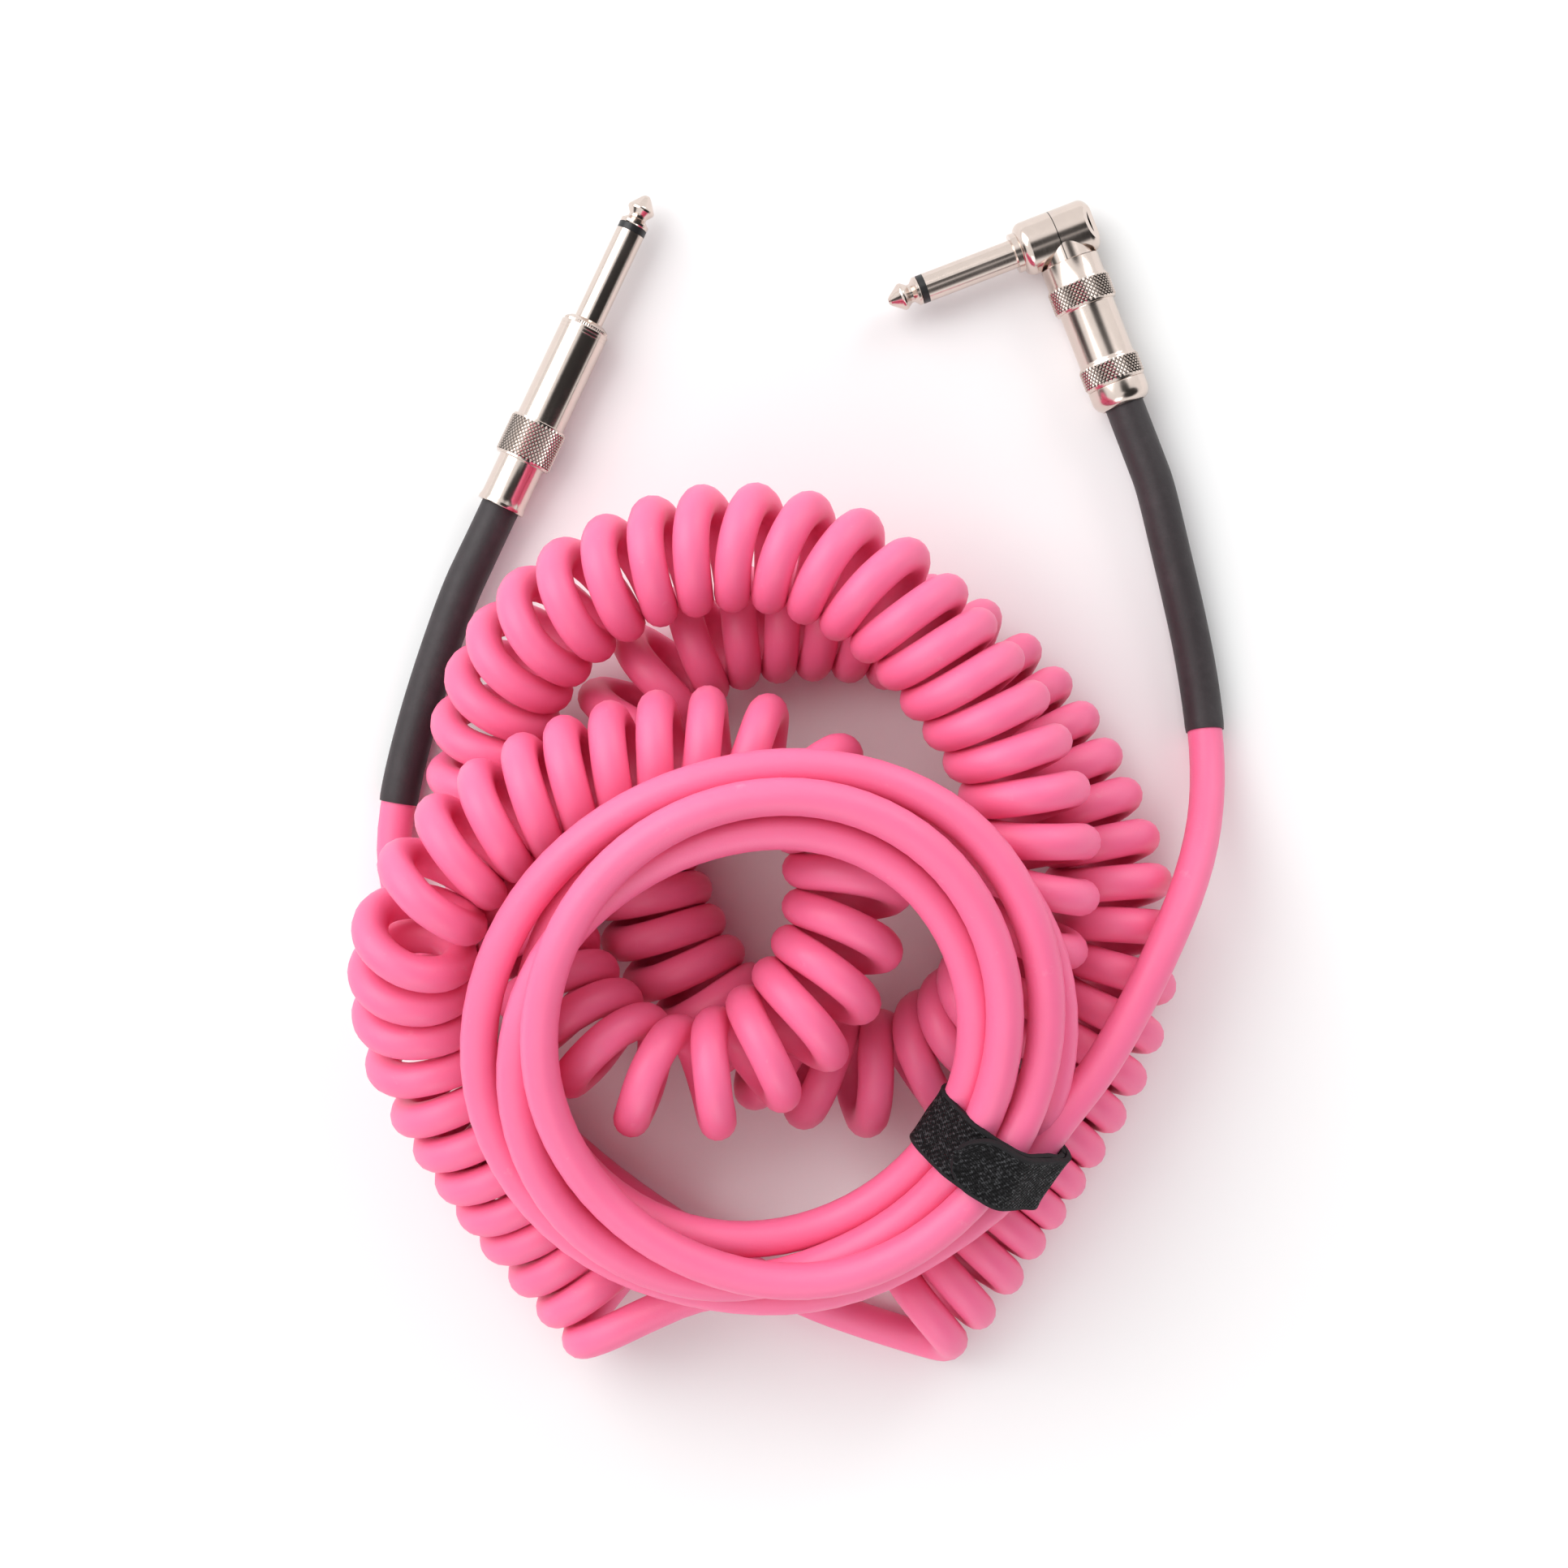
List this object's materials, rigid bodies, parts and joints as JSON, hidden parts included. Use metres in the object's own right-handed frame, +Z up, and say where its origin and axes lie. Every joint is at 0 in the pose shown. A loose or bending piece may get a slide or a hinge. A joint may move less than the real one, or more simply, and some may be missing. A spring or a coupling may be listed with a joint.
{
  "type": "instrument cable",
  "caption": "Curly instrument cable lying looped, a straight quarter-inch plug on one end and a right-angle one on the other, spare lead gathered in a ring by a hook-and-loop tie.",
  "frame": {"origin": "centre of the overall box, on the surface that the cable lies on", "axes": "+Z up from that surface, +Y from the loops towards the two plugs, +X towards the right-angle plug's side"},
  "size_m": [0.1893, 0.2532, 0.0721],
  "materials": {
    "jacket": "soft-gloss flexible jacket, bright pink",
    "nickel": "bright nickel plate",
    "contact_ring": "black insulating ring",
    "insulator": "black phenolic",
    "brass_lug": "bare stamped brass",
    "steel_clamp": "plated spring steel",
    "liner_plastic": "thin rolled plastic tube",
    "core_insulation": "natural polyethylene",
    "braid_copper": "twisted copper braid",
    "heat_shrink": "matte black heat-shrink tubing",
    "tie_loop": "black woven loop pile",
    "tie_hook": "black moulded hook face on woven tape"
  },
  "bodies": {
    "cable": {"cable_core_a": "core_insulation", "cable_core_b": "core_insulation", "cable_end_a": "jacket", "cable_end_b": "jacket", "cable_shield_a": "braid_copper", "cable_shield_b": "braid_copper", "curly_inner_loop": "jacket", "curly_left_loop": "jacket", "curly_outer_loop": "jacket", "curly_top_loop": "jacket", "heat_shrink_a": "heat_shrink", "heat_shrink_b": "heat_shrink", "lead_a": "jacket", "lead_b": "jacket", "link_cord": "jacket", "plug_a_body": "nickel", "plug_a_ground_clamp": "steel_clamp", "plug_a_rear_washer": "insulator", "plug_a_rod_insulator": "insulator", "plug_a_tip": "nickel", "plug_a_tip_lug": "brass_lug", "plug_a_tip_ring": "contact_ring", "plug_b_back_cover": "nickel", "plug_b_ground_clamp": "steel_clamp", "plug_b_housing": "nickel", "plug_b_rear_washer": "insulator", "plug_b_rod_insulator": "insulator", "plug_b_sleeve": "nickel", "plug_b_tip": "nickel", "plug_b_tip_lug": "brass_lug", "plug_b_tip_ring": "contact_ring", "tie_band": "tie_loop", "tie_hook_tab": "tie_hook", "tied_ring": "jacket"},
    "liner_a": {"plug_a_liner": "liner_plastic"},
    "shell_a": {"plug_a_shell": "nickel"},
    "liner_b": {"plug_b_liner": "liner_plastic"},
    "barrel_b": {"plug_b_barrel": "nickel"}
  },
  "joints": [
    {"name": "liner_a_slide", "type": "slide", "parent": "cable", "child": "liner_a", "axis": [-0.4281, -0.9037, 0], "range_m": [0, 0.012]},
    {"name": "shell_a_turn", "type": "hinge", "parent": "liner_a", "child": "shell_a", "pos_m": [-0.0454, 0.0989, 0.00645], "axis": [-0.4281, -0.9037, 0], "range_deg": [0, 5400]},
    {"name": "liner_b_slide", "type": "slide", "parent": "cable", "child": "liner_b", "axis": [0.3584, -0.9336, 0], "range_m": [0, 0.012]},
    {"name": "barrel_b_turn", "type": "hinge", "parent": "liner_b", "child": "barrel_b", "pos_m": [0.0582, 0.1175, 0.00715], "axis": [0.3584, -0.9336, 0], "range_deg": [0, 5400]}
  ],
  "couplings": [
    {"joint": "shell_a_turn", "follows": "liner_a_slide", "rad_per_m": 7854},
    {"joint": "barrel_b_turn", "follows": "liner_b_slide", "rad_per_m": 7854}
  ]
}
